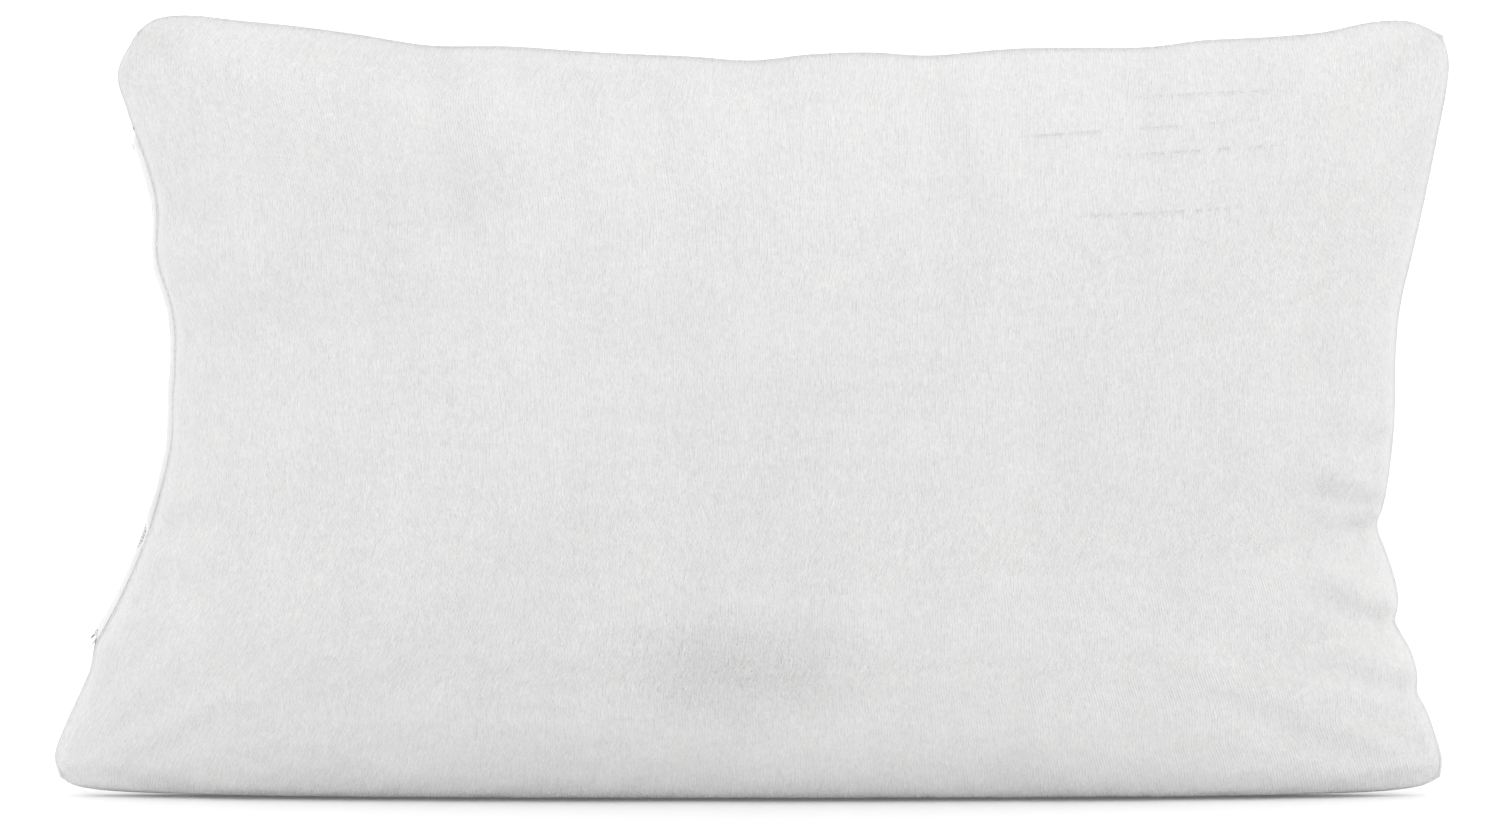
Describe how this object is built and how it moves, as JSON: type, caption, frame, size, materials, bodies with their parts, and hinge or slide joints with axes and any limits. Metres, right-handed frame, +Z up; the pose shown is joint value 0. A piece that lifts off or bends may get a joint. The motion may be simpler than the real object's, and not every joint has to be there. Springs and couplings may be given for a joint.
{
  "type": "bed pillow",
  "caption": "White knitted velour bed pillow, 70 by 40 cm, standing on its long edge: zipped cover, cotton liner and fibre filling.",
  "frame": {"origin": "centre of the base on the floor, below the middle of the pillow's box", "axes": "X along the pillow's length, Y through its thickness with the front face at -Y, Z up"},
  "size_m": [0.703, 0.148, 0.398],
  "materials": {
    "velour": "matte",
    "lip_fabric": "matte",
    "tape": "matte",
    "nylon": "satin",
    "zinc": "satin",
    "thread": "matte",
    "label": "satin",
    "cotton": "matte",
    "fibre": "matte"
  },
  "bodies": {
    "pillow": {"cover_front_panel": "velour", "cover_back_panel": "velour", "cover_seam_thread": "thread", "care_label": "label", "zip_lip": "lip_fabric", "zip_tape_front": "tape", "zip_tape_back": "tape", "zip_coil_front": "nylon", "zip_coil_back": "nylon", "zip_top_stops": "zinc", "zip_bottom_stop": "zinc", "zip_bartacks": "thread", "zip_stitches": "thread", "liner_front_panel": "cotton", "liner_back_panel": "cotton", "liner_seam_thread": "thread", "liner_closing_stitch": "thread", "fibre_fill": "fibre"},
    "slider": {"zip_slider": "zinc"},
    "tab": {"zip_pull_tab": "zinc"}
  },
  "joints": [
    {"name": "slider_travel", "type": "hinge", "parent": "pillow", "child": "slider", "pos_m": [-0.57697, 0, 0.23111], "axis": [0, 1, 0], "range_deg": [0, 49.6], "deforming": ["zip_coil_front", "zip_coil_back"]},
    {"name": "tab_swing", "type": "hinge", "parent": "slider", "child": "tab", "pos_m": [-0.30875, 0.009, 0.32794], "axis": [0, 1, 0], "range_deg": [0, 165]}
  ]
}
